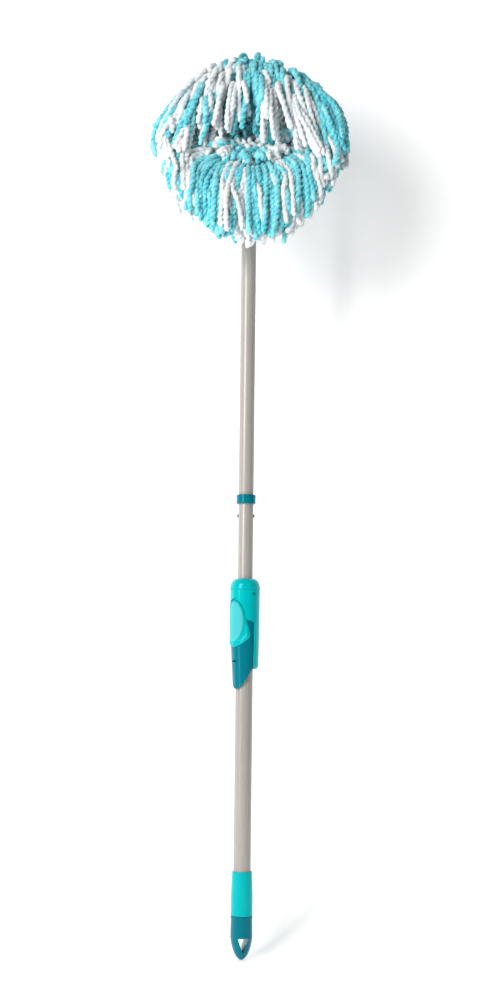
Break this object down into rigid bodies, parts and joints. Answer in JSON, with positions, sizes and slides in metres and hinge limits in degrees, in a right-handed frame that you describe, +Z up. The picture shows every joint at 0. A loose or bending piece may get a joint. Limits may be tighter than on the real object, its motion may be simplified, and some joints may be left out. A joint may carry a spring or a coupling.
{
  "type": "spin mop",
  "caption": "Push-to-spin floor mop: two-stage tube handle with a grip, a flip-lever lock unit and a tilting round head of long twisted yarn.",
  "frame": {"origin": "tip of the grip cap, on the pole's axis, the part standing with its head up", "axes": "+Z up along the pole towards the head, -Y towards the viewer of the picture and the side to which the head has flopped, +X to the viewer's right"},
  "size_m": [0.2684, 0.1484, 1.2965],
  "materials": {
    "teal_plastic": "smooth moulded, satin gloss",
    "mint_plastic": "smooth moulded, satin gloss",
    "pale_mint_pad": "soft-touch pad, finely grained",
    "coated_tube": "warm grey coat, fine drawn lines along the tube",
    "bright_steel": "drawn steel",
    "button_steel": "polished steel button",
    "screw_steel": "dark zinc",
    "dark_plastic": "moulded, unpolished",
    "white_plastic": "natural acetal",
    "textile": "woven sewn band",
    "yarn": "twisted microfibre yarn, white and turquoise in clusters"
  },
  "bodies": {
    "handle": {"grip_cap": "teal_plastic", "grip_sleeve": "mint_plastic", "grip_plug": "dark_plastic", "spindle": "bright_steel", "spindle_pin": "bright_steel", "spindle_stop": "dark_plastic", "stop_pin": "bright_steel", "outer_tube": "coated_tube", "neck_bush": "white_plastic", "lock_core": "dark_plastic", "lower_shell": "teal_plastic", "upper_shell": "mint_plastic", "dome_cap": "mint_plastic", "shell_screw_right": "screw_steel", "shell_screw_left": "screw_steel", "lever_pin": "bright_steel", "shoe_spring": "bright_steel"},
    "lock_lever": {"lock_lever": "mint_plastic", "lever_pad": "pale_mint_pad"},
    "brake": {"brake_shoe": "white_plastic"},
    "carriage": {"glide_bush": "white_plastic"},
    "mast": {"inner_tube": "coated_tube", "driver_nut": "white_plastic", "clutch_ring": "dark_plastic", "snap_clip": "bright_steel", "collar_ring": "teal_plastic", "head_tube": "coated_tube", "head_clevis": "dark_plastic", "tilt_pin": "bright_steel"},
    "button_left": {"snap_button_left": "button_steel"},
    "button_right": {"snap_button_right": "button_steel"},
    "disc": {"disc_plate": "teal_plastic", "disc_knuckle": "dark_plastic", "disc_screw_1": "screw_steel", "disc_screw_2": "screw_steel", "disc_screw_3": "screw_steel", "disc_screw_4": "screw_steel"},
    "refill": {"ring_frame": "white_plastic", "textile_band": "textile", "yarn_tufts": "yarn", "yarn_skirt": "yarn"}
  },
  "joints": [
    {"name": "pump_slide", "type": "slide", "parent": "handle", "child": "carriage", "axis": [0, 0, 1], "range_m": [0, 0.2]},
    {"name": "head_spin", "type": "hinge", "parent": "carriage", "child": "mast", "pos_m": [0, 0, 0.3], "axis": [0, 0, 1], "range_deg": [-1, 721]},
    {"name": "lock_lever_flip", "type": "hinge", "parent": "handle", "child": "lock_lever", "pos_m": [-0.01144, -0.01104, 0.509], "axis": [-0.6947, 0.7193, 0], "range_deg": [0, 30]},
    {"name": "brake_release", "type": "slide", "parent": "handle", "child": "brake", "axis": [-0.7193, -0.6947, 0], "range_m": [-0.00001, 0.00101]},
    {"name": "button_left_press", "type": "slide", "parent": "mast", "child": "button_left", "axis": [1, 0, 0], "range_m": [0, 0.0021], "stiffness_N_per_m": 400, "springref_m": -0.002},
    {"name": "button_right_press", "type": "slide", "parent": "mast", "child": "button_right", "axis": [-1, 0, 0], "range_m": [0, 0.0021], "stiffness_N_per_m": 400, "springref_m": -0.002},
    {"name": "head_tilt", "type": "hinge", "parent": "mast", "child": "disc", "pos_m": [0, 0, 1.133], "axis": [1, 0, 0], "range_deg": [-104, 0]},
    {"name": "refill_release", "type": "slide", "parent": "disc", "child": "refill", "axis": [0, -0.788, 0.6157], "range_m": [0, 0.05]}
  ],
  "couplings": [
    {"joint": "head_spin", "follows": "pump_slide", "rad_per_m": 62.832},
    {"joint": "brake_release", "follows": "lock_lever_flip", "m_per_rad": 0.00191}
  ]
}
